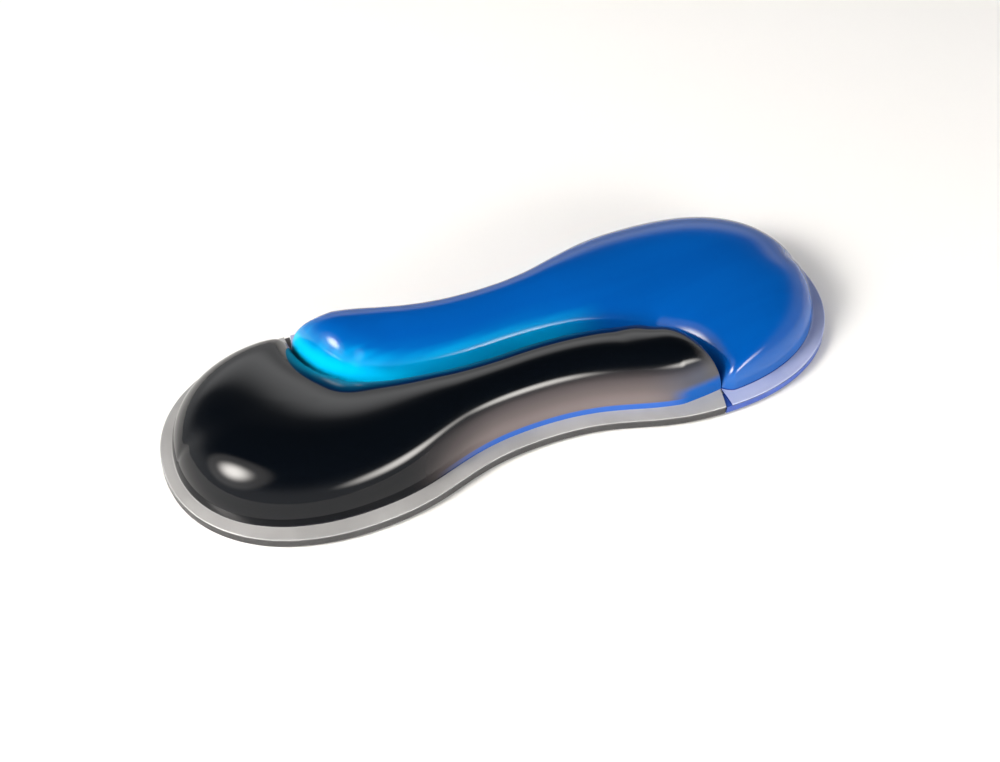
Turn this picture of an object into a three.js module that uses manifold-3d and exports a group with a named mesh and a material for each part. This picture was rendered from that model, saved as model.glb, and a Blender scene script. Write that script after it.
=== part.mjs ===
// A gel wrist rest with two interlocking pads, smoke and blue, on one non-slip base.
// Millimetres, +Z up. X runs along the rest, Y from the user towards the mouse or keyboard.
// The origin is the centre of the footprint, at the table. Turning the rest half a turn about Z
// puts the blue pad's shape on the smoke pad's, so only the smoke half is drawn.
import * as THREE from "three";
import { mergeVertices } from "three/addons/utils/BufferGeometryUtils.js";
import Module from "manifold-3d";

const wasm = await Module();
wasm.setup();

// Footprint: two round lobes and a waist, the same in all four quarters.
const HALF_LENGTH = 105;
const LOBE_HALF_WIDTH = 40;
const LOBE_X = 57;
const WAIST_HALF_WIDTH = 30;
const END_FULLNESS = 0.6; // Bezier handle of the lobe's end, as a share of its half axes
const WAIST_FULLNESS = 0.48; // Bezier handle between waist and lobe, as a share of LOBE_X

// Seam between the pads: from the centre to where it meets the front of the blue lobe.
const SEAM_END = [56, -33]; // at the foot of the domes
const SEAM_CENTRE_HANDLE = [30.5, 1.2];
const SEAM_END_HANDLE = [55.8, -6];
const SEAM_EXIT = [52, -48]; // past the edge, so that the seam splits the flange too
const SEAM_CREST = 2; // how far the seam's valley rises above the flange at the centre

// Layers, from the table up.
const GRIP_THICKNESS = 0.8;
const PLATE_THICKNESS = 1.2;
const FILM_THICKNESS = 0.3;
const UNDER_GEL_THICKNESS = 3.8;
const RIM_TOP = 3.2;
const FLANGE_TOP = 3.9;
const SKIN_THICKNESS = 0.6;

// Plan insets from the footprint.
const GRIP_INSET = 1;
const TIP_SHARE = 0.74; // of each inset at the tips, where the flange is narrower
const DOME_INSET = 4.8;
const CORE_INSET = 5.7;
const FIT_GAP = 0.3;

// Domes: steep at the foot and level on top. The rounding is how far from the edge they level off.
const TAIL_CREST = 25.5;
const TAIL_ROUNDING = 6;
const LOBE_CREST = 28;
const LOBE_ROUNDING = 15.5;
const SEAM_STEEPNESS = 0.45; // of the slope at the seam, next to the slope at the edge
const TAIL_END_STEEPNESS = 0.9; // the same at the end of the tail
const TO_TAIL_END = [30, 52]; // X between which the one turns into the other
const TAIL_TO_LOBE = [-22, -68]; // X between which the smoke dome's tail turns into its lobe

// Facets.
const LOBE_STATIONS = 18; // sections across a dome, from its tip to its corner on the seam
const SEAM_STATIONS = 34; // and from there to the end of its tail
const SECTION_STEPS = 8;
const OUTLINE_STEPS = 12; // per Bezier, eight of which make the footprint
const SEAM_STEPS = 18; // per half of the seam
const SEAM_CLEARANCE = 2.5; // between the seam and the first point of a dome's edge
const TINY = 1e-6;

const PLATE_BOTTOM = GRIP_THICKNESS;
const FILM_BOTTOM = PLATE_BOTTOM + PLATE_THICKNESS;
const GEL_BOTTOM = FILM_BOTTOM + FILM_THICKNESS;
const UNDER_GEL_TOP = GEL_BOTTOM + UNDER_GEL_THICKNESS;

const point = (x, y) => new THREE.Vector2(x, y);
const halfTurn = (points) => points.map((p) => point(-p.x, -p.y));

// The footprint's edge, anticlockwise from the tip of the blue lobe.
function footprint() {
  const endX = (HALF_LENGTH - LOBE_X) * END_FULLNESS;
  const endY = LOBE_HALF_WIDTH * END_FULLNESS;
  const waist = LOBE_X * WAIST_FULLNESS;
  const path = new THREE.Path();
  path.moveTo(HALF_LENGTH, 0);
  path.bezierCurveTo(HALF_LENGTH, endY, LOBE_X + endX, LOBE_HALF_WIDTH, LOBE_X, LOBE_HALF_WIDTH);
  path.bezierCurveTo(LOBE_X - waist, LOBE_HALF_WIDTH, waist, WAIST_HALF_WIDTH, 0, WAIST_HALF_WIDTH);
  path.bezierCurveTo(-waist, WAIST_HALF_WIDTH, waist - LOBE_X, LOBE_HALF_WIDTH, -LOBE_X, LOBE_HALF_WIDTH);
  path.bezierCurveTo(-LOBE_X - endX, LOBE_HALF_WIDTH, -HALF_LENGTH, endY, -HALF_LENGTH, 0);
  const back = path.getPoints(OUTLINE_STEPS).slice(0, -1);
  return [...back, ...halfTurn(back)];
}

// A closed outline moved inwards along its normals: by distance at the sides, and less at the tips.
function inset(outline, distance) {
  return outline.map((p, i) => {
    const before = outline.at(i - 1);
    const after = outline[(i + 1) % outline.length];
    const along = after.clone().sub(before).normalize();
    return point(p.x - along.y * distance * TIP_SHARE, p.y + along.x * distance);
  });
}

// The seam from the back of the smoke lobe, through the centre, to the front of the blue lobe.
function seamLine() {
  const half = new THREE.CubicBezierCurve(
    point(0, 0),
    point(...SEAM_CENTRE_HANDLE),
    point(...SEAM_END_HANDLE),
    point(...SEAM_END),
  ).getPoints(SEAM_STEPS);
  return [...halfTurn(half).reverse().slice(0, -1), ...half];
}

// A solid from a closed mesh, and back.
function solidOf(geometry) {
  const bare = new THREE.BufferGeometry();
  bare.setAttribute("position", geometry.getAttribute("position"));
  if (geometry.index) bare.setIndex(geometry.index);
  const merged = mergeVertices(bare, 1e-4);
  const mesh = new wasm.Mesh({
    numProp: 3,
    vertProperties: merged.attributes.position.array,
    triVerts: new Uint32Array(merged.index.array),
  });
  return new wasm.Manifold(mesh);
}

function geometryOf(solid) {
  const mesh = solid.getMesh();
  const geometry = new THREE.BufferGeometry();
  geometry.setAttribute("position", new THREE.BufferAttribute(mesh.vertProperties, 3));
  geometry.setIndex(new THREE.BufferAttribute(mesh.triVerts, 1));
  return geometry.toNonIndexed();
}

// A flat sheet with the given outline between two heights.
function sheet(outline, bottom, top) {
  const geometry = new THREE.ExtrudeGeometry(new THREE.Shape(outline), {
    depth: top - bottom,
    bevelEnabled: false,
  });
  return solidOf(geometry.translate(0, 0, bottom));
}

// An open line moved by gap to its right, which for the seam is the smoke side.
function heldBack(line, gap) {
  return line.map((p, i) => {
    const before = line[Math.max(i - 1, 0)];
    const after = line[Math.min(i + 1, line.length - 1)];
    const along = after.clone().sub(before).normalize();
    return point(p.x + along.y * gap, p.y - along.x * gap);
  });
}

// The seam with both its exits across the flange.
function wholeSeam() {
  return [point(-SEAM_EXIT[0], -SEAM_EXIT[1]), ...seamLine(), point(...SEAM_EXIT)];
}

// Everything on the smoke side of the seam, held back from it by gap.
function smokeSide(gap) {
  const held = heldBack(wholeSeam(), gap);
  const far = 2 * HALF_LENGTH;
  const around = [point(SEAM_EXIT[0], -far), point(-far, -far), point(-far, far), point(-SEAM_EXIT[0], far)];
  return sheet([...held, ...around].reverse(), -far, far);
}

// Points at equal distances along an open line.
function evenly(line, count) {
  const reach = [0];
  for (let i = 1; i < line.length; i++) reach.push(reach[i - 1] + line[i].distanceTo(line[i - 1]));
  const total = reach.at(-1);
  return Array.from({ length: count + 1 }, (_, k) => {
    const at = (total * k) / count;
    let i = 1;
    while (i < line.length - 1 && reach[i] < at) i++;
    const share = (at - reach[i - 1]) / (reach[i] - reach[i - 1]);
    return line[i - 1].clone().lerp(line[i], share);
  });
}

// The smoke dome's foot as two lines from the tip of its round end to the end of its tail:
// along the front edge, and round the back edge and then along the seam. Every inset keeps the
// same points of the edge, those clear of the seam, so that nested domes stay parallel.
function domeSides(insetBy, gap) {
  const foot = inset(footprint(), DOME_INSET);
  const edge = inset(footprint(), insetBy);
  const clear = foot.map((p) => nearestOn(wholeSeam(), p, false).distance > SEAM_CLEARANCE);
  const nearest = (p) => {
    const distances = foot.map((q) => q.distanceTo(p));
    return distances.indexOf(Math.min(...distances));
  };
  const stretch = (from, to) => edge.slice(from, to + 1).filter((_, i) => clear[from + i]);
  const tip = edge.length / 2;
  const seam = heldBack(seamLine(), gap);
  const front = stretch(tip, nearest(seam.at(-1)));
  const back = stretch(nearest(seam[0]), tip).reverse();
  const roundTheBack = evenly([...back, seam[0]], LOBE_STATIONS);
  const alongTheSeam = evenly(seam, SEAM_STATIONS).slice(1);
  return [
    evenly([...front, seam.at(-1)], LOBE_STATIONS + SEAM_STATIONS),
    [...roundTheBack, ...alongTheSeam],
  ];
}

// The nearest point to p on a line.
function nearestOn(line, p, closed) {
  const last = closed ? line.length : line.length - 1;
  const target = new THREE.Vector3(p.x, p.y, 0);
  const found = { point: null, distance: Infinity };
  for (let i = 0; i < last; i++) {
    const a = line[i];
    const b = line[(i + 1) % line.length];
    const piece = new THREE.Line3(new THREE.Vector3(a.x, a.y, 0), new THREE.Vector3(b.x, b.y, 0));
    const close = piece.closestPointToPoint(target, true, new THREE.Vector3());
    const distance = close.distanceTo(target);
    if (distance < found.distance) Object.assign(found, { point: close, distance });
  }
  return found;
}

// The smoke dome's height over a point of the plan. It stands on a foot that is level with the
// flange at the outer edge and rises along the seam, to a valley between the two domes.
function domeHeight(p, outerEdge, gap) {
  const toEdge = nearestOn(outerEdge, p, true).distance;
  const seam = nearestOn(seamLine(), p, false);
  const toSeam = Math.max(seam.distance - gap, 0);
  const seamShare = Math.min(1, seam.point.y / SEAM_END[1]);
  const valley = SEAM_CREST * (1 - seamShare * seamShare);
  const foot = FLANGE_TOP + (valley * toEdge) / Math.max(toEdge + toSeam, TINY);
  const atEnd = THREE.MathUtils.smoothstep(p.x, TO_TAIL_END[0], TO_TAIL_END[1]);
  const fromSeam = toSeam * THREE.MathUtils.lerp(SEAM_STEEPNESS, TAIL_END_STEEPNESS, atEnd);
  const reach = (toEdge * fromSeam) / Math.max(Math.hypot(toEdge, fromSeam), TINY);
  const lobe = 1 - THREE.MathUtils.smoothstep(p.x, TAIL_TO_LOBE[1], TAIL_TO_LOBE[0]);
  const rounding = THREE.MathUtils.lerp(TAIL_ROUNDING, LOBE_ROUNDING, lobe);
  const crest = THREE.MathUtils.lerp(TAIL_CREST, LOBE_CREST, lobe);
  return foot + (crest - foot) * Math.sqrt(1 - Math.exp(-reach / rounding));
}

// A dome on the smoke side of the seam, inset from the footprint and held back from the seam.
// lowered takes the wall's thickness off its height, and bottom is its flat underside.
function dome(insetBy, gap, lowered, bottom) {
  const [front, back] = domeSides(insetBy, gap);
  const outerEdge = inset(footprint(), insetBy);
  const rows = front.map((start, i) => {
    return Array.from({ length: SECTION_STEPS + 1 }, (_, j) => {
      const across = (1 - Math.cos((Math.PI * j) / SECTION_STEPS)) / 2;
      const p = start.clone().lerp(back[i], across);
      return [p.x, p.y, domeHeight(p, outerEdge, gap) - lowered];
    });
  });
  return closedLoft(rows, bottom);
}

// Closes rows of surface points with walls down to a flat underside.
function closedLoft(rows, bottom) {
  const vertices = [];
  const quad = (a, b, c, d) => vertices.push(...a, ...b, ...c, ...a, ...c, ...d);
  const below = (p) => [p[0], p[1], bottom];
  for (let i = 0; i + 1 < rows.length; i++) {
    const [row, next] = [rows[i], rows[i + 1]];
    const last = row.length - 1;
    for (let j = 0; j < last; j++) quad(row[j], next[j], next[j + 1], row[j + 1]);
    quad(below(row[0]), below(next[0]), next[0], row[0]);
    quad(row[last], next[last], below(next[last]), below(row[last]));
    quad(below(row[last]), below(next[last]), below(next[0]), below(row[0]));
  }
  const geometry = new THREE.BufferGeometry();
  geometry.setAttribute("position", new THREE.Float32BufferAttribute(vertices, 3));
  return solidOf(geometry);
}

const material = (color, roughness) => new THREE.MeshStandardMaterial({ color, roughness, metalness: 0 });
const materials = {
  smokeSkin: material(0x0b0d12, 0.08),
  blueSkin: material(0x0253aa, 0.08),
  smokeGel: material(0x14161c, 0.3),
  blueGel: material(0x0a62c0, 0.3),
  smokeRim: material(0x3c3d40, 0.2),
  blueRim: material(0x2a4fb4, 0.2),
  backing: material(0xb9bcc2, 0.5),
  plate: material(0x1b1c1f, 0.6),
  grip: material(0x151515, 0.9),
};

const group = new THREE.Group();
function add(name, solid, finish) {
  const mesh = new THREE.Mesh(geometryOf(solid), finish);
  mesh.name = name;
  group.add(mesh);
  return mesh;
}

// The blue pad's piece is the smoke pad's, turned half a turn about Z.
function addPair(name, solid, smokeFinish, blueFinish) {
  add("smoke_" + name, solid, smokeFinish);
  add("blue_" + name, solid, blueFinish).rotation.z = Math.PI;
}

const edge = footprint();
const side = smokeSide(FIT_GAP / 2);
const coreOutline = inset(edge, CORE_INSET);
const ringHole = sheet(inset(edge, CORE_INSET - FIT_GAP), 0, FLANGE_TOP);
const ring = sheet(edge, PLATE_BOTTOM, RIM_TOP).subtract(ringHole);
const backing = sheet(coreOutline, FILM_BOTTOM, GEL_BOTTOM).intersect(side);

add("grip_sheet", sheet(inset(edge, GRIP_INSET), 0, GRIP_THICKNESS), materials.grip);
add("base_plate", sheet(coreOutline, PLATE_BOTTOM, FILM_BOTTOM), materials.plate);
addPair("backing_film", backing, materials.backing, materials.backing);
addPair("rim", ring.intersect(side), materials.smokeRim, materials.blueRim);

const outerDome = dome(DOME_INSET, FIT_GAP, 0, (RIM_TOP + FLANGE_TOP) / 2);
const hollow = dome(DOME_INSET + SKIN_THICKNESS, FIT_GAP + SKIN_THICKNESS, SKIN_THICKNESS, GEL_BOTTOM);
const flange = sheet(edge, RIM_TOP, FLANGE_TOP);
const skin = flange.intersect(side).add(outerDome).subtract(hollow);
addPair("skin", skin, materials.smokeSkin, materials.blueSkin);

const gelDepth = SKIN_THICKNESS + FIT_GAP;
const gel = dome(DOME_INSET + gelDepth, FIT_GAP + gelDepth, gelDepth, GEL_BOTTOM);
const underLayer = sheet(edge, 0, UNDER_GEL_TOP);
add("smoke_gel", gel.subtract(underLayer), materials.smokeGel);
add("smoke_under_gel", gel.intersect(underLayer), materials.blueGel);
add("blue_gel", gel, materials.blueGel).rotation.z = Math.PI;

export default group;
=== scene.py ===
import math

import bmesh
import bpy
import numpy as np
from mathutils import Matrix, Vector


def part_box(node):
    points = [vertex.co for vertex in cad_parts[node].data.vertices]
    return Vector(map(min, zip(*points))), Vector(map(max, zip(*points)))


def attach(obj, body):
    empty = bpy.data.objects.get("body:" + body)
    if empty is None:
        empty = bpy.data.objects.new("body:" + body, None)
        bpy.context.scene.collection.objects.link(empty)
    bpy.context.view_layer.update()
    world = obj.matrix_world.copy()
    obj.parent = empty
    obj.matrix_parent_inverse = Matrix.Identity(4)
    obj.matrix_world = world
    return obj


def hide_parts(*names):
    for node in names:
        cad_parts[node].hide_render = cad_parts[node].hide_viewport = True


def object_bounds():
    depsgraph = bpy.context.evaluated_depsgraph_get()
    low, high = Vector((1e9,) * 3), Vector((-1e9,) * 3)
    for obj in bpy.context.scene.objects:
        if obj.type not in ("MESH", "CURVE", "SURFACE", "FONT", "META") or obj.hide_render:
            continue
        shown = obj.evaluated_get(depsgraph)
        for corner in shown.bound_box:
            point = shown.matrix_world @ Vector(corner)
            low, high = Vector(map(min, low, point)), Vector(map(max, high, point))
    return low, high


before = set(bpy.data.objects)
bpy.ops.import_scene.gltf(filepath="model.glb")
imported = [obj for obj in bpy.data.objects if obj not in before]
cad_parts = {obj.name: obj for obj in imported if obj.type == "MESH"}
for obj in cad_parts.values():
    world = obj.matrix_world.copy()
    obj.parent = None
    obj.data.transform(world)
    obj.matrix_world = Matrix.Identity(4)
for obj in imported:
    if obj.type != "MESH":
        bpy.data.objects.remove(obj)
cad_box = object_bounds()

MM = 0.001

# Footprint, from the frame's box.
HALF_LENGTH = cad_box[1][0]
LOBE_HALF_WIDTH = cad_box[1][1]
LOBE_X = 57 * MM
WAIST_HALF_WIDTH = 30 * MM
END_FULLNESS = 0.6
WAIST_FULLNESS = 0.48

# Seam between the pads, from the centre to its end at the front of the blue lobe.
SEAM_END = (56 * MM, -33 * MM)
SEAM_CENTRE_HANDLE = (30.5 * MM, 1.2 * MM)
SEAM_END_HANDLE = (55.8 * MM, -6 * MM)
SEAM_EXIT = (54.1 * MM, -40.4 * MM)
SEAM_GAP = 0.12 * MM
VALLEY_RISE = 2 * MM

# Layers, from the frame.
GRIP_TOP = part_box("grip_sheet")[1][2]
GEL_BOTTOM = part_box("smoke_under_gel")[0][2]
UNDER_GEL_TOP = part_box("smoke_under_gel")[1][2]
RIM_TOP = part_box("smoke_rim")[1][2]
FLANGE_TOP = 3.9 * MM
SKIN = 0.6 * MM
FIT_GAP = 0.3 * MM
DOME_INSET = 4.8 * MM
GRIP_INSET = 1 * MM
TIP_SHARE = 0.74  # of each inset at the tips, where the flange is narrower

# Domes: steep at the foot and level on top.
TAIL_CREST = 25.5 * MM
TAIL_ROUNDING = 6 * MM
LOBE_CREST = 28 * MM
LOBE_ROUNDING = 15.5 * MM
SEAM_STEEPNESS = 0.45  # of the slope at the seam, next to the slope at the edge
TAIL_END_STEEPNESS = 0.9  # the same at the end of the tail
TO_TAIL_END = (30 * MM, 52 * MM)
TAIL_TO_LOBE = (-22 * MM, -68 * MM)

# Mesh density.
LOBE_ROWS = 84
TAIL_ROWS = 150
HALF_COLUMNS = 26
FINE = 400  # points on each curve that distances are measured to
SETTLED = 0.02 * MM  # points nearer than this to a foot are on it
TINY = 1e-9


def lerp(a, b, share):
    return a + (b - a) * share


def smoothstep(x, low, high):
    t = np.clip((x - low) / (high - low), 0, 1)
    return t * t * (3 - 2 * t)


def bezier(a, b, c, d, count):
    t = np.linspace(0, 1, count + 1)[:, None]
    a, b, c, d = (np.array(p, float) for p in (a, b, c, d))
    return (1 - t) ** 3 * a + 3 * (1 - t) ** 2 * t * b + 3 * (1 - t) * t * t * c + t**3 * d


def evenly(line, count):
    """Points at equal distances along an open line."""
    reach = np.concatenate([[0], np.cumsum(np.linalg.norm(np.diff(line, axis=0), axis=1))])
    at = np.linspace(0, reach[-1], count + 1)
    return np.stack([np.interp(at, reach, line[:, k]) for k in (0, 1)], -1)


def normals_of(line):
    """Unit normals to the left of an open line."""
    along = np.gradient(line, axis=0)
    along /= np.linalg.norm(along, axis=1)[:, None]
    return np.stack([-along[:, 1], along[:, 0]], -1)


def quarter():
    """A quarter of the footprint: from the waist at the back to the tip of the right lobe."""
    w = LOBE_X * WAIST_FULLNESS
    ex = (HALF_LENGTH - LOBE_X) * END_FULLNESS
    ey = LOBE_HALF_WIDTH * END_FULLNESS
    waist = bezier(
        (0, WAIST_HALF_WIDTH),
        (w, WAIST_HALF_WIDTH),
        (LOBE_X - w, LOBE_HALF_WIDTH),
        (LOBE_X, LOBE_HALF_WIDTH),
        FINE,
    )
    end = bezier(
        (LOBE_X, LOBE_HALF_WIDTH),
        (LOBE_X + ex, LOBE_HALF_WIDTH),
        (HALF_LENGTH, ey),
        (HALF_LENGTH, 0),
        FINE,
    )
    return np.vstack([waist[:-1], end])


def front_edge(inset):
    """The footprint's front half, from the left tip to the right tip, moved inwards by inset."""
    q = quarter()
    left = q * [-1, -1]
    right = q * [1, -1]
    line = np.vstack([left[::-1], right[1:]])
    line = evenly(line, 4 * FINE)
    moved = line + normals_of(line) * inset * (TIP_SHARE, 1)
    moved[0] = (line[0][0] + inset * TIP_SHARE, 0)
    moved[-1] = (line[-1][0] - inset * TIP_SHARE, 0)
    return moved


def seam_half():
    return bezier((0, 0), SEAM_CENTRE_HANDLE, SEAM_END_HANDLE, SEAM_END, FINE)


def seam_line():
    """The seam from its end at the back of the smoke lobe to its end at the front of the blue one."""
    half = seam_half()
    return np.vstack([-half[::-1], half[1:]])


def distance_to(points, line):
    """Each point's distance to a line, and the nearest point's Y."""
    a, ab = line[:-1], np.diff(line, axis=0)
    length2 = (ab * ab).sum(1)
    distance = np.empty(len(points))
    nearest_y = np.empty(len(points))
    chunk = 2000
    for start in range(0, len(points), chunk):
        p = points[start : start + chunk, None]
        t = np.clip(((p - a) * ab).sum(-1) / length2, 0, 1)
        near = a + t[..., None] * ab
        d = np.linalg.norm(p - near, axis=-1)
        k = d.argmin(1)
        rows = np.arange(len(k))
        distance[start : start + chunk] = d[rows, k]
        nearest_y[start : start + chunk] = near[rows, k, 1]
    return np.maximum(distance, 1e-7), nearest_y


def softest(distances, power):
    """The least of several distances, with no crease where two are equal."""
    return sum(d**-power for d in distances) ** (-1 / power)


def foot_lines(inset, gap):
    """The dome's foot, along the front edge and round the back edge, and the seam beside it.

    The foot leaves the edges' run to meet the seam's two ends.
    """
    edge_run = front_edge(inset)
    seam = seam_line()
    seam = seam - normals_of(seam) * gap

    def meet(line, end, ease):
        start = line[int(np.searchsorted(line[:, 0], end[0] - ease))]
        knee = (lerp(start[0], end[0], 0.55), lerp(start[1], end[1], 0.2))
        t = np.linspace(0, 1, 81)[:, None]
        bend = (1 - t) ** 2 * start + 2 * (1 - t) * t * np.array(knee) + t * t * end
        return np.vstack([line[line[:, 0] < start[0]], bend])

    front = meet(edge_run, seam[-1], 13 * MM)
    back = meet(edge_run * [1, -1], seam[0], 3.6 * MM)
    return front, back, seam


def dome_field(points, inset, gap):
    """The smoke dome's height over points of the plan, and how far each is from edge and seam."""
    front, back, _ = foot_lines(inset, gap)
    to_front, _ = distance_to(points, front[::3])
    to_back, _ = distance_to(points, back[::3])
    to_edge = np.maximum(softest([to_front, to_back], 4) - SETTLED, TINY)

    half = seam_half()[::2]
    bend = len(half) * 3 // 5
    parts = [-half[bend:], np.vstack([-half[: bend + 1][::-1], half[1 : bend + 1]]), half[bend:]]
    measured = [distance_to(points, part) for part in parts]
    shares = [1 - np.minimum(1, np.abs(y / SEAM_END[1])) ** 2 for _, y in measured]
    weights = [d**-4.0 for d, _ in measured]
    valley = sum(w * s for w, s in zip(weights, shares)) / sum(weights)
    to_seam = np.maximum(softest([d for d, _ in measured], 4) - gap - SETTLED, TINY)

    foot = FLANGE_TOP + VALLEY_RISE * valley * to_edge / (to_edge + to_seam)
    at_end = smoothstep(points[:, 0], *TO_TAIL_END)
    from_seam = to_seam * lerp(SEAM_STEEPNESS, TAIL_END_STEEPNESS, at_end)
    reach = softest([to_edge, from_seam], 2)
    lobe = 1 - smoothstep(points[:, 0], TAIL_TO_LOBE[1], TAIL_TO_LOBE[0])
    rounding = lerp(TAIL_ROUNDING, LOBE_ROUNDING, lobe)
    crest = lerp(TAIL_CREST, LOBE_CREST, lobe)
    height = foot + (crest - foot) * np.sqrt(1 - np.exp(-reach / rounding))
    return height, to_edge, to_seam, foot


def dome_sides(inset, gap):
    """The dome's foot as two lines of equal counts, with the footprint's edge beside the first.

    Both run from the tip of the lobe to the end of the tail: along the front edge, and round the
    back edge, which ends at the corner, and then along the seam.
    """
    edge = front_edge(0)
    front_foot, back_foot, seam = foot_lines(inset, gap)
    turn = int(np.searchsorted(front_foot[:, 0], -SEAM_END[0] - 4 * MM))
    lobe_front = evenly(front_foot[: turn + 1], LOBE_ROWS)
    tail_front = evenly(front_foot[turn:], TAIL_ROWS)
    lobe_back = evenly(back_foot, LOBE_ROWS)
    front = np.vstack([lobe_front, tail_front[1:]])
    back = np.vstack([lobe_back, evenly(seam, TAIL_ROWS)[1:]])

    # The edge beside each front point and each point round the back, up to the seam's exits.
    def beside(points, exit_x):
        own = front_edge(inset)
        share = np.interp(points[:, 0], own[:, 0], np.arange(len(own)))
        share = np.minimum(share, np.interp(exit_x, edge[:, 0], np.arange(len(edge))))
        return np.stack([np.interp(share, np.arange(len(edge)), edge[:, k]) for k in (0, 1)], -1)

    outer_front = beside(front, SEAM_EXIT[0] - gap)
    outer_back = beside(lobe_back * [1, -1], -SEAM_EXIT[0] - gap) * [1, -1]
    return front, back, outer_front, outer_back


def spine_of(front, back):
    """The line between the two sides that the rows of a dome meet on."""
    spine = (front + back) / 2
    spine[:LOBE_ROWS] = spine[LOBE_ROWS]
    hold = int(LOBE_ROWS + TAIL_ROWS * 0.9)
    spine[hold:] = spine[hold]
    kernel = np.hanning(41)
    kernel /= kernel.sum()
    middle = slice(LOBE_ROWS, hold + 1)
    part = spine[middle]
    padded = np.vstack([np.repeat(part[:1], 20, 0), part, np.repeat(part[-1:], 20, 0)])
    spine[middle] = np.stack([np.convolve(padded[:, k], kernel, "valid") for k in (0, 1)], -1)
    spine[:LOBE_ROWS] = spine[LOBE_ROWS]
    spine[hold:] = spine[hold]
    return spine


def dome_rows(inset, gap):
    """Rows of plan points across a dome, from its front side over its spine to its back side."""
    front, back, outer_front, outer_back = dome_sides(inset, gap)
    spine = spine_of(front, back)
    share = 1 - np.cos(np.linspace(0, math.pi / 2, HALF_COLUMNS + 1))
    share = 0.75 * share + 0.25 * np.linspace(0, 1, HALF_COLUMNS + 1) ** 1.5
    up = front[:, None] + (spine - front)[:, None] * share[None, :, None]
    down = back[:, None] + (spine - back)[:, None] * share[None, ::-1, None]
    return np.concatenate([up, down[:, 1:]], axis=1), outer_front, outer_back


def new_object(name, vertices, faces, materials, face_slots=None, sharp=math.radians(38)):
    mesh = bpy.data.meshes.new(name)
    mesh.from_pydata([tuple(map(float, v)) for v in vertices], [], [tuple(map(int, f)) for f in faces])
    for m in materials:
        mesh.materials.append(m)
    if face_slots is not None:
        mesh.polygons.foreach_set("material_index", np.array(face_slots, np.int32))
    obj = bpy.data.objects.new(name, mesh)
    bpy.context.scene.collection.objects.link(obj)
    tidy(mesh)
    mesh.polygons.foreach_set("use_smooth", np.ones(len(mesh.polygons), bool))
    mesh.set_sharp_from_angle(angle=sharp)
    mesh.update()
    return obj


def tidy(mesh):
    """Joins points that coincide, drops faces with no area and turns all faces outwards."""
    b = bmesh.new()
    b.from_mesh(mesh)
    bmesh.ops.remove_doubles(b, verts=b.verts, dist=2e-6)
    bmesh.ops.dissolve_degenerate(b, edges=b.edges, dist=1e-7)
    bmesh.ops.recalc_face_normals(b, faces=b.faces)
    b.to_mesh(mesh)
    b.free()


def grid_faces(rows, columns, offset=0):
    i, j = np.meshgrid(np.arange(rows - 1), np.arange(columns - 1), indexing="ij")
    a = (i * columns + j).ravel() + offset
    return np.stack([a, a + 1, a + columns + 1, a + columns], -1).tolist()


def half_turn(obj):
    """Turns a new piece's mesh half a turn about Z."""
    obj.data.transform(Matrix.Rotation(math.pi, 4, "Z"))
    return obj


def add_measures(obj, turned):
    """Stores each point's distance from edge and seam, and its place along the pad, in mm."""
    mesh = obj.data
    co = np.empty(len(mesh.vertices) * 3)
    mesh.vertices.foreach_get("co", co)
    co = co.reshape(-1, 3)
    plan = co[:, :2] * (-1 if turned else 1)
    _, to_edge, to_seam, foot = dome_field(plan, DOME_INSET, SEAM_GAP)
    measures = {
        "to_edge": to_edge,
        "to_seam": to_seam,
        "along": plan[:, 0],
        "across": plan[:, 1],
        "rise": co[:, 2] - foot,
    }
    for name, values in measures.items():
        layer = mesh.attributes.new(name, "FLOAT", "POINT")
        layer.data.foreach_set("value", (values / MM).astype(np.float32))
    height = mesh.attributes.new("height", "FLOAT", "POINT")
    height.data.foreach_set("value", (co[:, 2] / MM).astype(np.float32))


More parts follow.
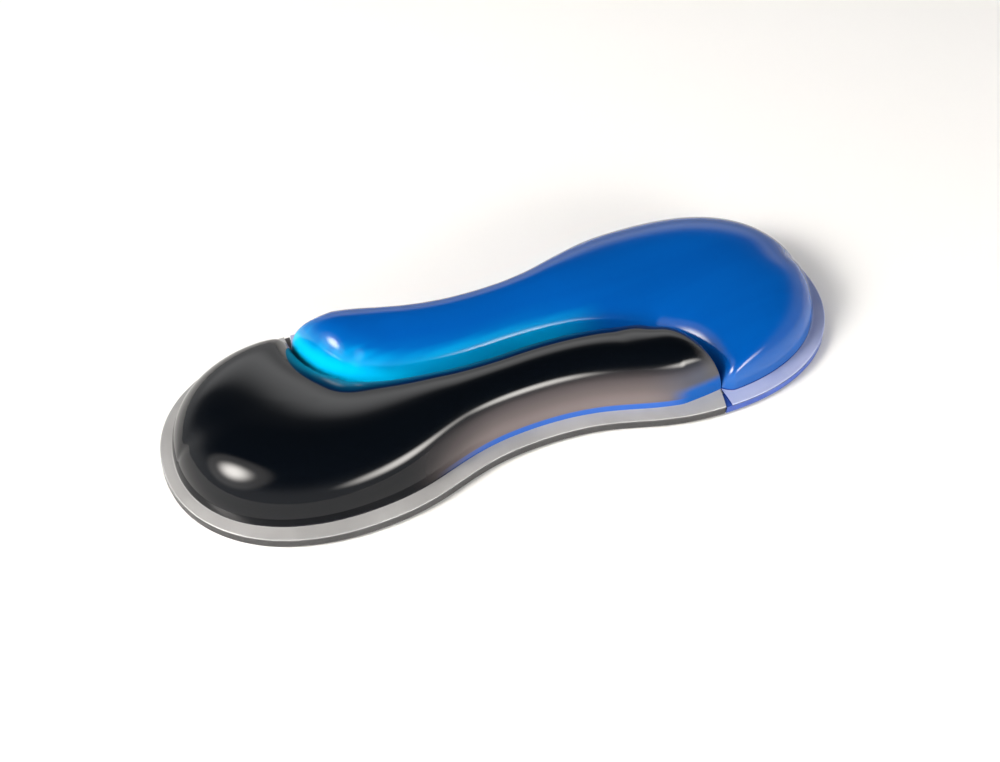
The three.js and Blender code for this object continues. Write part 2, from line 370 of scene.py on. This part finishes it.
def make_skin(name, materials, turned):
    """One pad's film: its dome, its flange with a rounded edge, and the walls along the seam."""
    plan, outer_front, outer_back = dome_rows(DOME_INSET, SEAM_GAP)
    rows, columns = plan.shape[:2]
    top, *_ = dome_field(plan.reshape(-1, 2), DOME_INSET, SEAM_GAP)
    top = top.reshape(rows, columns)
    radius = 0.32 * MM
    groove = 0.55 * MM  # the shallow channel round the foot
    steps = 7

    def flange(foot, edge):
        """From the foot of the dome to the flange's underside at its rounded outer edge."""
        out = edge - foot
        length = np.maximum(np.linalg.norm(out, axis=1), 1e-9)[:, None]
        out = out / length
        points = []
        for share, drop in ((0.04, 0.06), (0.1, 0.1), (0.17, 0.05), (0.25, 0), (0.6, 0), (0.85, 0.01)):
            z = np.full(len(foot), FLANGE_TOP - drop * groove)
            points.append(np.column_stack([foot + out * length * share, z]))
        for k in range(steps):
            angle = (math.pi / 2) * k / (steps - 1)
            at = edge - out * (radius * (1 - math.sin(angle)))
            z = np.full(len(foot), FLANGE_TOP - radius * (1 - math.cos(angle)))
            points.append(np.column_stack([at, z]))
        points.append(np.column_stack([edge, np.full(len(foot), RIM_TOP)]))
        return points

    def wall(foot, z, count):
        """Straight down from the seam's edge to the same depth, in as many points."""
        return [
            np.column_stack([foot, lerp(z, np.full(len(z), RIM_TOP), (k + 1) / count)])
            for k in range(count)
        ]

    front_strip = flange(plan[:, 0], outer_front)
    round_back = flange(plan[: len(outer_back), -1], outer_back)
    count = len(front_strip)
    seam_feet = plan[len(outer_back) - 1 :, -1]
    down_the_seam = wall(seam_feet, top[len(outer_back) - 1 :, -1], count)
    back_strip = [np.vstack([a, b]) for a, b in zip(round_back, down_the_seam)]

    # The corner's row is there twice: once with the flange, once with the wall.
    corner = len(outer_back) - 1
    again = np.r_[0 : corner + 1, corner:rows]
    dome = np.dstack([plan, top])[again]
    left = np.stack(front_strip[::-1], 1)[again]
    right = np.stack(back_strip, 1)
    grid = np.concatenate([left, dome, right], axis=1)
    n_rows, n_columns = grid.shape[:2]
    faces = grid_faces(n_rows, n_columns)
    dome_slot = 0
    flange_slot = 1
    column = np.tile(np.arange(n_columns - 1), n_rows - 1)
    row = np.repeat(np.arange(n_rows - 1), n_columns - 1)
    on_left = column < count
    on_right = (column >= count + columns - 1) & (row < corner)
    slots = np.where(on_left | on_right, flange_slot, dome_slot).tolist()

    # The cut across the flange at the end of the tail.
    last = (n_rows - 1) * n_columns
    for k in range(count):
        faces.append((last + k, last + k + 1, last + n_columns - 2 - k, last + n_columns - 1 - k))
        slots.append(flange_slot)

    # The hollow's surface, on the same rows.
    inner_plan, _, _ = dome_rows(DOME_INSET + SKIN, SEAM_GAP + SKIN)
    inner_top, *_ = dome_field(inner_plan.reshape(-1, 2), DOME_INSET + SKIN, SEAM_GAP + SKIN)
    inner_top = inner_top.reshape(rows, columns) - SKIN
    inner = np.dstack([inner_plan, inner_top])[again]
    under = inner.copy()[:, [0, -1]]
    under[..., 2] = RIM_TOP
    inner = np.concatenate([under[:, :1], inner, under[:, 1:]], axis=1)
    offset = n_rows * n_columns
    in_columns = inner.shape[1]
    inner_faces = grid_faces(n_rows, in_columns, offset)
    faces += inner_faces
    slots += [dome_slot] * len(inner_faces)

    # The underside of the flange, from its outer edge to the hollow.
    for i in range(n_rows - 1):
        a, b = i * n_columns, (i + 1) * n_columns
        c, d = offset + i * in_columns, offset + (i + 1) * in_columns
        faces.append((a, b, d, c))
        faces.append((a + n_columns - 1, c + in_columns - 1, d + in_columns - 1, b + n_columns - 1))
        slots += [flange_slot, flange_slot]
    end = offset + (n_rows - 1) * in_columns
    faces.append((last, last + n_columns - 1, end + in_columns - 1, end))
    slots.append(flange_slot)

    vertices = np.vstack([grid.reshape(-1, 3), inner.reshape(-1, 3)])
    obj = new_object(name, vertices, faces, materials, slots)
    if turned:
        half_turn(obj)
    add_measures(obj, turned)
    return obj


def make_gel(name, material, turned, low=None, high=None):
    """The gel that fills a pad, or the layer of it between two heights."""
    depth = SKIN + FIT_GAP * 0.5
    plan, _, _ = dome_rows(DOME_INSET + depth, SEAM_GAP + depth)
    rows, columns = plan.shape[:2]
    top, *_ = dome_field(plan.reshape(-1, 2), DOME_INSET + depth, SEAM_GAP + depth)
    top = np.maximum(top.reshape(rows, columns) - depth, GEL_BOTTOM + SKIN)
    surface = np.dstack([plan, top])
    floor = surface.copy()
    floor[..., 2] = GEL_BOTTOM
    grid = np.concatenate([surface, floor[:, ::-1]], axis=1)
    grid = np.concatenate([grid, grid[:, :1]], axis=1)
    faces = grid_faces(rows, grid.shape[1])
    obj = new_object(name, grid.reshape(-1, 3), faces, [material])
    b = bmesh.new()
    b.from_mesh(obj.data)
    for height, side in ((low, 1), (high, -1)):
        if height is None:
            continue
        cut = bmesh.ops.bisect_plane(
            b,
            geom=[*b.verts, *b.edges, *b.faces],
            plane_co=(0, 0, height),
            plane_no=(0, 0, -side),
            clear_outer=True,
        )
        rim = [e for e in cut["geom_cut"] if isinstance(e, bmesh.types.BMEdge)]
        bmesh.ops.holes_fill(b, edges=rim)
    bmesh.ops.triangulate(b, faces=[f for f in b.faces if len(f.verts) > 4])
    bmesh.ops.recalc_face_normals(b, faces=b.faces)
    b.to_mesh(obj.data)
    b.free()
    if turned:
        half_turn(obj)
    add_measures(obj, turned)
    return obj


def edge_stretch():
    """The footprint's edge on the smoke side, from the front exit round the lobe to the back one."""
    edge = front_edge(0)
    front = edge[edge[:, 0] <= SEAM_EXIT[0] - SEAM_GAP]
    back = edge[edge[:, 0] <= -SEAM_EXIT[0] - SEAM_GAP] * [1, -1]
    path = np.vstack([front[::-1], back[1:]])
    return evenly(path, 420)


def make_rim(name, material, turned):
    """The edge band under one pad's flange: a soft-cornered strip that ends at the seam."""
    path = edge_stretch()
    inwards = -normals_of(path)
    tip_side = path.mean(0) - path
    if (inwards * tip_side).sum() < 0:
        inwards = -inwards
    width = DOME_INSET + 0.6 * MM
    soft = 0.25 * MM
    low, high = GRIP_TOP, RIM_TOP
    profile = [(width, low)]
    for k in range(5):
        angle = math.pi / 2 * k / 4
        profile.append((soft * (1 - math.sin(angle)), low + soft * (1 - math.cos(angle))))
    profile += [(0.02 * MM, lerp(low, high, 0.35)), (0.02 * MM, lerp(low, high, 0.65))]
    for k in range(5):
        angle = math.pi / 2 * k / 4
        profile.append((soft * (1 - math.cos(angle)), high - soft * (1 - math.sin(angle))))
    profile.append((width, high))
    profile.append(profile[0])
    rows = []
    for inset, z in profile:
        rows.append(np.column_stack([path + inwards * inset, np.full(len(path), z)]))
    grid = np.stack(rows, 1)
    n, m = grid.shape[:2]
    faces = grid_faces(n, m)
    faces.append(list(range(m - 1)))
    faces.append([(n - 1) * m + k for k in range(m - 1)][::-1])
    obj = new_object(name, grid.reshape(-1, 3), faces, [material])
    if turned:
        half_turn(obj)
    return obj


def make_grip(material):
    """The non-slip sheet: a thin plate with a soft edge and a moulded channel underneath."""
    front = evenly(front_edge(GRIP_INSET), 300)
    loop = np.vstack([front, front[::-1][1:-1] * [1, -1]])
    nxt = np.roll(loop, -1, 0) - np.roll(loop, 1, 0)
    nxt /= np.linalg.norm(nxt, axis=1)[:, None]
    inwards = np.stack([-nxt[:, 1], nxt[:, 0]], -1)
    channel = 0.35 * MM
    profile = [
        (8, GRIP_TOP / MM),
        (0.15, GRIP_TOP / MM),
        (0, GRIP_TOP / MM - 0.15),
        (0, 0.2),
        (0.06, 0.06),
        (0.2, 0),
        (2.4, 0),
        (2.6, channel / MM * 0.6),
        (2.8, channel / MM),
        (3.8, channel / MM),
        (4.0, channel / MM * 0.6),
        (4.2, 0),
        (8, 0),
    ]
    rings = [np.column_stack([loop + inwards * i * MM, np.full(len(loop), z * MM)]) for i, z in profile]
    vertices = np.vstack(rings)
    n = len(loop)
    faces = []
    for k in range(len(rings) - 1):
        for i in range(n):
            j = (i + 1) % n
            faces.append((k * n + i, k * n + j, (k + 1) * n + j, (k + 1) * n + i))
    faces.append(list(range(n)))
    faces.append([(len(rings) - 1) * n + i for i in range(n)][::-1])
    return new_object("grip_sheet_moulded", vertices, faces, [material])


# ---------------------------------------------------------------- materials


class Nodes:
    """A short way to write a node tree."""

    def __init__(self, name):
        self.material = bpy.data.materials.new(name)
        self.material.use_nodes = True
        self.tree = self.material.node_tree
        self.shader = self.tree.nodes["Principled BSDF"]

    def add(self, kind, **values):
        node = self.tree.nodes.new(kind)
        for key, value in values.items():
            setattr(node, key, value)
        return node

    def link(self, source, target):
        self.tree.links.new(source, target)

    def put(self, socket, value):
        if isinstance(value, bpy.types.NodeSocket):
            self.link(value, socket)
        else:
            socket.default_value = value

    def attribute(self, name):
        return self.add("ShaderNodeAttribute", attribute_name=name).outputs["Fac"]

    def math(self, operation, a, b=0.0):
        node = self.add("ShaderNodeMath", operation=operation)
        self.put(node.inputs[0], a)
        self.put(node.inputs[1], b)
        return node.outputs[0]

    def span(self, value, low, high, to_low=0.0, to_high=1.0, smooth=True):
        node = self.add("ShaderNodeMapRange")
        node.interpolation_type = "SMOOTHSTEP" if smooth else "LINEAR"
        self.put(node.inputs["Value"], value)
        node.inputs["From Min"].default_value = low
        node.inputs["From Max"].default_value = high
        node.inputs["To Min"].default_value = to_low
        node.inputs["To Max"].default_value = to_high
        return node.outputs["Result"]

    def noise(self, scale, detail=3.0, stretch=(1, 1, 1)):
        where = self.add("ShaderNodeTexCoord").outputs["Object"]
        mapping = self.add("ShaderNodeMapping")
        mapping.inputs["Scale"].default_value = stretch
        self.link(where, mapping.inputs["Vector"])
        node = self.add("ShaderNodeTexNoise")
        node.inputs["Scale"].default_value = scale
        node.inputs["Detail"].default_value = detail
        self.link(mapping.outputs[0], node.inputs["Vector"])
        return node.outputs["Fac"]

    def mix(self, share, a, b):
        node = self.add("ShaderNodeMix", data_type="RGBA")
        self.put(node.inputs["Factor"], share)
        for socket, value in ((node.inputs["A"], a), (node.inputs["B"], b)):
            self.put(socket, (*value, 1) if isinstance(value, tuple) else value)
        return node.outputs["Result"]

    def bump(self, height, distance, strength=1.0):
        node = self.add("ShaderNodeBump")
        node.inputs["Distance"].default_value = distance
        node.inputs["Strength"].default_value = strength
        self.link(height, node.inputs["Height"])
        self.link(node.outputs["Normal"], self.shader.inputs["Normal"])

    def finish(self, color, roughness, **uniform):
        self.put(self.shader.inputs["Base Color"], (*color, 1) if isinstance(color, tuple) else color)
        self.put(self.shader.inputs["Roughness"], roughness)
        for name, value in uniform.items():
            self.shader.inputs[name.replace("_", " ")].default_value = value
        return self.material


def smoke_film():
    n = Nodes("smoke_film")
    to_edge = n.attribute("to_edge")
    to_seam = n.attribute("to_seam")
    along = n.attribute("along")
    across = n.attribute("across")
    rise = n.attribute("rise")
    height = n.attribute("height")
    cloud = n.noise(40, 2, (0.4, 1, 1))

    # Painted light: the tail's front flank is painted a lighter warm grey for light coming through the thin gel,
    # less towards its foot.
    tail = n.span(along, -44, -12)
    front = n.span(across, -4, -14)
    flank = n.math("MULTIPLY", n.span(height, 18.5, 12.5), n.math("MULTIPLY", tail, front))
    flank_painted_glow = n.mix(n.span(height, 14, 6), (0.075, 0.062, 0.064), (0.17, 0.14, 0.138))
    flank_painted_glow = n.mix(n.span(along, 30, 50), flank_painted_glow, (0.06, 0.065, 0.09))
    color = n.mix(flank, (0.0012, 0.002, 0.0035), flank_painted_glow)

    # Painted light also beside the seam, for light coming through the gel there, in a cloudy tone.
    beside = n.math("MULTIPLY", n.span(to_seam, 8.5, 0.5), n.span(along, -60, -50))
    thin = n.mix(n.span(cloud, 0.35, 0.65), (0.05, 0.048, 0.046), (0.085, 0.08, 0.076))
    color = n.mix(n.math("MULTIPLY", beside, 0.9), color, thin)
    # Painted shade: a fixed dark grey in the crease along the dome's foot.
    color = n.mix(n.span(rise, 1.0, 0.2), color, (0.012, 0.012, 0.016))

    # The blue layer under the gel shows through the foot of the tail, most at its end.
    foot = n.math("MULTIPLY", n.span(height, 6.4, 5.7), n.span(along, -36, -12))
    color = n.mix(n.math("MULTIPLY", foot, front), color, (0.035, 0.12, 0.46))
    end = n.math("MULTIPLY", n.span(height, 11, 7.5), n.span(along, 38, 46))
    color = n.mix(n.math("MULTIPLY", end, front), color, (0.004, 0.09, 0.38))
    rough = n.span(n.noise(60, 2), 0.3, 0.7, 0.07, 0.1)
    return n.finish(color, rough, IOR=1.36)


def blue_film():
    n = Nodes("blue_film")
    to_edge = n.attribute("to_edge")
    to_seam = n.attribute("to_seam")
    along = n.attribute("along")
    height = n.attribute("height")
    rise = n.attribute("rise")
    streaks = n.noise(60, 3, (0.22, 1.8, 0.6))

    deep = (0.0002, 0.06, 0.285)
    color = n.mix(n.span(streaks, 0.35, 0.7), deep, (0.0003, 0.067, 0.31))
    tail = n.span(along, -36, -8)
    # Painted light: cyan beside the seam, for light coming through the thin gel there.
    near = n.math("ADD", to_seam, n.span(streaks, 0.3, 0.7, -2.2, 2.2))
    wide = n.math("MULTIPLY", n.span(near, 11, 2.5), tail)
    color = n.mix(n.math("MULTIPLY", wide, 0.5), color, (0.0, 0.14, 0.43))
    tight = n.math("MULTIPLY", n.span(near, 7, 1.2), tail)
    color = n.mix(n.math("MULTIPLY", tight, 0.9), color, (0.0, 0.3, 0.62))
    # Painted light: lighter cyan low on the end of the tail.
    tip = n.math("MULTIPLY", n.span(along, 47, 54), n.span(height, 17, 7))
    color = n.mix(n.math("MULTIPLY", tip, 0.8), color, (0.01, 0.36, 0.6))
    # Painted light: bright cyan on the steep wall by the seam towards the tail's end, which lies in shade.
    painted_light_on_wall = n.math("MULTIPLY", n.span(to_seam, 2.2, 0.6), n.span(along, 22, 38))
    color = n.mix(n.math("MULTIPLY", painted_light_on_wall, 0.85), color, (0.0, 0.55, 1.0))
    # Painted light: paler lavender-blue within about 3 mm of the outer foot.
    painted_light_near_foot = n.math("MULTIPLY", n.span(to_edge, 3.2, 0), 0.3)
    color = n.mix(painted_light_near_foot, color, (0.06, 0.2, 0.55))
    # Painted shade: dark navy in the crease along the dome's foot.
    color = n.mix(n.span(rise, 0.7, 0.25), color, (0.0, 0.02, 0.16))
    rough = n.span(n.noise(60, 2), 0.3, 0.7, 0.07, 0.1)
    return n.finish(color, rough, IOR=1.36)


def flange_film(name, inner, outer):
    n = Nodes(name)
    height = n.attribute("height")
    cloud = n.span(n.noise(45, 3), 0.3, 0.7)
    color = n.mix(cloud, inner, outer)
    side = n.span(height, 3.75, 3.45)
    color = n.mix(side, color, tuple(0.25 * c for c in inner))
    rough = n.span(n.noise(140, 2), 0.3, 0.7, 0.12, 0.2)
    return n.finish(color, rough, IOR=1.45, Coat_Weight=0.3, Coat_Roughness=0.06)


def rubber(name, color, pale):
    n = Nodes(name)
    grain = n.noise(900, 4)
    mixed = n.mix(n.span(n.noise(70, 3), 0.3, 0.75), color, pale)
    n.bump(grain, 0.00006, 0.5)
    return n.finish(mixed, n.span(grain, 0.3, 0.7, 0.38, 0.52), Coat_Weight=0.15, Coat_Roughness=0.3)


def grip_rubber():
    n = Nodes("grip_rubber")
    where = n.add("ShaderNodeTexCoord").outputs["Object"]
    cells = n.add("ShaderNodeTexVoronoi")
    cells.inputs["Scale"].default_value = 700
    cells.inputs["Randomness"].default_value = 0.15
    n.link(where, cells.inputs["Vector"])
    n.bump(n.span(cells.outputs["Distance"], 0.0, 0.5, 1, 0), 0.0002, 0.8)
    color = n.mix(n.span(n.noise(80, 4), 0.3, 0.7), (0.012, 0.012, 0.013), (0.03, 0.03, 0.03))
    return n.finish(color, n.span(n.noise(300, 3), 0.3, 0.7, 0.75, 0.92))


def gel(name, deep, light):
    n = Nodes(name)
    color = n.mix(n.span(n.noise(35, 3), 0.3, 0.7), deep, light)
    return n.finish(color, n.span(n.noise(120, 2), 0.3, 0.7, 0.2, 0.32), IOR=1.45)


def plain_plastic(name, dark, light, roughness):
    n = Nodes(name)
    grain = n.noise(500, 4)
    n.bump(grain, 0.00003, 0.5)
    color = n.mix(n.span(n.noise(60, 3), 0.3, 0.7), dark, light)
    return n.finish(color, n.span(grain, 0.3, 0.7, roughness - 0.06, roughness + 0.06))


# ---------------------------------------------------------------- pieces

SMOKE_FILM = smoke_film()
BLUE_FILM = blue_film()
SMOKE_FLANGE = flange_film("smoke_flange_film", (0.29, 0.29, 0.293), (0.37, 0.37, 0.373))
BLUE_FLANGE = flange_film("blue_flange_film", (0.25, 0.3, 0.52), (0.36, 0.4, 0.6))
SMOKE_GEL = gel("smoke_gel", (0.006, 0.007, 0.009), (0.02, 0.021, 0.024))
BLUE_GEL = gel("blue_gel", (0.001, 0.08, 0.4), (0.002, 0.14, 0.55))


def settle(obj, record_slot, *nodes, pad=False):
    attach(obj, "root")
    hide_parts(*nodes)


smoke_skin = make_skin("smoke_pad_film", [SMOKE_FILM, SMOKE_FLANGE], False)
settle(smoke_skin, "smoke_film", "smoke_skin", pad=True)
blue_skin = make_skin("blue_pad_film", [BLUE_FILM, BLUE_FLANGE], True)
settle(blue_skin, "blue_film", "blue_skin", pad=True)
smoke_core = make_gel("smoke_gel_fill", SMOKE_GEL, False, low=UNDER_GEL_TOP)
settle(smoke_core, "smoke_gel", "smoke_gel", pad=True)
smoke_layer = make_gel("smoke_under_layer", BLUE_GEL, False, high=UNDER_GEL_TOP)
settle(smoke_layer, "blue_gel", "smoke_under_gel", pad=True)
blue_core = make_gel("blue_gel_fill", BLUE_GEL, True)
settle(blue_core, "blue_gel", "blue_gel", pad=True)
smoke_band = make_rim("smoke_edge_band", rubber("smoke_rubber", (0.018, 0.018, 0.019), (0.03, 0.03, 0.031)), False)
settle(smoke_band, "smoke_rim", "smoke_rim")
blue_band = make_rim("blue_edge_band", rubber("blue_rubber", (0.02, 0.065, 0.33), (0.03, 0.09, 0.4)), True)
settle(blue_band, "blue_rim", "blue_rim")
grip = make_grip(grip_rubber())
settle(grip, "grip", "grip_sheet")

BACKING = plain_plastic("backing_film", (0.42, 0.44, 0.48), (0.55, 0.57, 0.6), 0.4)
PLATE = plain_plastic("base_plate", (0.02, 0.02, 0.022), (0.035, 0.035, 0.037), 0.55)
for node, material in (
    ("smoke_backing_film", BACKING),
    ("blue_backing_film", BACKING),
    ("base_plate", PLATE),
):
    for material_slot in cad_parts[node].material_slots:
        material_slot.material = material

# ---------------------------------------------------------------- floor, light and camera


def floor_material():
    n = Nodes("floor")
    color = n.mix(n.span(n.noise(3, 2), 0.3, 0.7), (0.86, 0.86, 0.86), (0.88, 0.88, 0.88))
    return n.finish(color, 0.9)


def direction(azimuth, elevation):
    """A unit vector at an azimuth from the front, positive to the right, and an elevation."""
    a, e = math.radians(azimuth), math.radians(elevation)
    return Vector((math.sin(a) * math.cos(e), -math.cos(a) * math.cos(e), math.sin(e)))


def softbox(name, azimuth, elevation, size, radiance, color, core=0.0, gain=0.0, fade=1.0):
    """A lamp aimed at the origin, sized in degrees, that fades towards its edges.

    The core is a share of its size, and is brighter than the rest by the gain.
    """
    width, height = (2 * math.tan(math.radians(degrees) / 2) for degrees in size)
    data = bpy.data.lights.new(name, "AREA")
    data.shape = "RECTANGLE"
    data.size = width
    data.size_y = height
    data.energy = radiance * math.pi * width * height
    data.color = color
    data.use_nodes = True
    tree = data.node_tree

    def node(kind, operation, *inputs):
        made = tree.nodes.new(kind)
        made.operation = operation
        for socket, value in zip(made.inputs, inputs):
            if isinstance(value, bpy.types.NodeSocket):
                tree.links.new(value, socket)
            else:
                socket.default_value = value
        return made

    def ramp(value, start, stop):
        made = tree.nodes.new("ShaderNodeMapRange")
        made.interpolation_type = "SMOOTHERSTEP"
        made.inputs["From Min"].default_value = start
        made.inputs["From Max"].default_value = stop
        tree.links.new(value, made.inputs["Value"])
        return made.outputs["Result"]

    where = tree.nodes.new("ShaderNodeNewGeometry").outputs["Parametric"]
    centred = node("ShaderNodeVectorMath", "SUBTRACT", where, (0.5, 0.5, 0))
    flat = node("ShaderNodeVectorMath", "MULTIPLY", centred.outputs[0], (1, 1, 0))
    away = node("ShaderNodeVectorMath", "LENGTH", flat.outputs[0]).outputs["Value"]
    strength = ramp(away, 0.5, 0.5 * (1 - fade))
    if gain:
        extra = node("ShaderNodeMath", "MULTIPLY", ramp(away, 0.5 * core, 0.0), gain)
        strength = node("ShaderNodeMath", "ADD", strength, extra.outputs[0]).outputs[0]
    tree.links.new(strength, tree.nodes["Emission"].inputs["Strength"])
    light = bpy.data.objects.new(name, data)
    bpy.context.scene.collection.objects.link(light)
    towards = direction(azimuth, elevation)
    light.location = towards
    light.rotation_euler = towards.to_track_quat("Z", "Y").to_euler()
    light.visible_camera = False
    return light


def make_floor():
    mesh = bpy.data.meshes.new("floor")
    size = 4.0
    drop = -0.00005
    corners = [(-size, -size, drop), (size, -size, drop), (size, size, drop), (-size, size, drop)]
    mesh.from_pydata(corners, [], [(0, 1, 2, 3)])
    mesh.materials.append(floor_material())
    obj = bpy.data.objects.new("floor", mesh)
    bpy.context.scene.collection.objects.link(obj)


def make_world():
    """Pale at the horizon and dark overhead, as a studio with a low white backdrop."""
    world = bpy.data.worlds.new("studio")
    bpy.context.scene.world = world
    world.use_nodes = True
    tree = world.node_tree
    where = tree.nodes.new("ShaderNodeTexCoord")
    split = tree.nodes.new("ShaderNodeSeparateXYZ")
    ramp = tree.nodes.new("ShaderNodeValToRGB")
    tree.links.new(where.outputs["Generated"], split.inputs[0])
    tree.links.new(split.outputs["Z"], ramp.inputs["Fac"])
    tree.links.new(ramp.outputs["Color"], tree.nodes["Background"].inputs["Color"])
    stops = ((0.0, 0.85), (0.3, 0.8), (0.55, 0.16), (0.72, 0.03), (1.0, 0.02))
    ramp.color_ramp.elements[0].position = 0
    for k, (at, grey) in enumerate(stops):
        element = ramp.color_ramp.elements[k] if k < 2 else ramp.color_ramp.elements.new(at)
        element.position = at
        element.color = (grey, grey, grey, 1)
    tree.nodes["Background"].inputs["Strength"].default_value = 1.0


def make_camera():
    azimuth = math.radians(-23.69)
    elevation = math.radians(46.34)
    distance = 5.036 * HALF_LENGTH
    back = Vector((
        math.sin(azimuth) * math.cos(elevation),
        -math.cos(azimuth) * math.cos(elevation),
        math.sin(elevation),
    ))
    right = Vector((math.cos(azimuth), math.sin(azimuth), 0))
    up = back.cross(right)
    aim = right * (-1.21 * MM) + up * (-0.6 * MM)
    data = bpy.data.cameras.new("camera")
    data.sensor_width = 36
    data.lens = 63
    camera = bpy.data.objects.new("camera", data)
    bpy.context.scene.collection.objects.link(camera)
    axes = Matrix((right, up, back)).transposed().to_4x4()
    camera.matrix_world = Matrix.Translation(back * distance + aim) @ axes
    bpy.context.scene.camera = camera


make_floor()
make_world()
make_camera()
WARM = (1.0, 0.96, 0.91)
NEUTRAL = (1.0, 1.0, 1.0)
softbox("left_lamp", -80, 38, (64, 64), 1.6, WARM, core=0.58, gain=22, fade=0.4)
softbox("front_strip", 20, 20, (56, 24), 26, WARM)
softbox("back_wash", 160, 24, (100, 34), 1.2, NEUTRAL)
bpy.context.scene.view_settings.view_transform = "Standard"
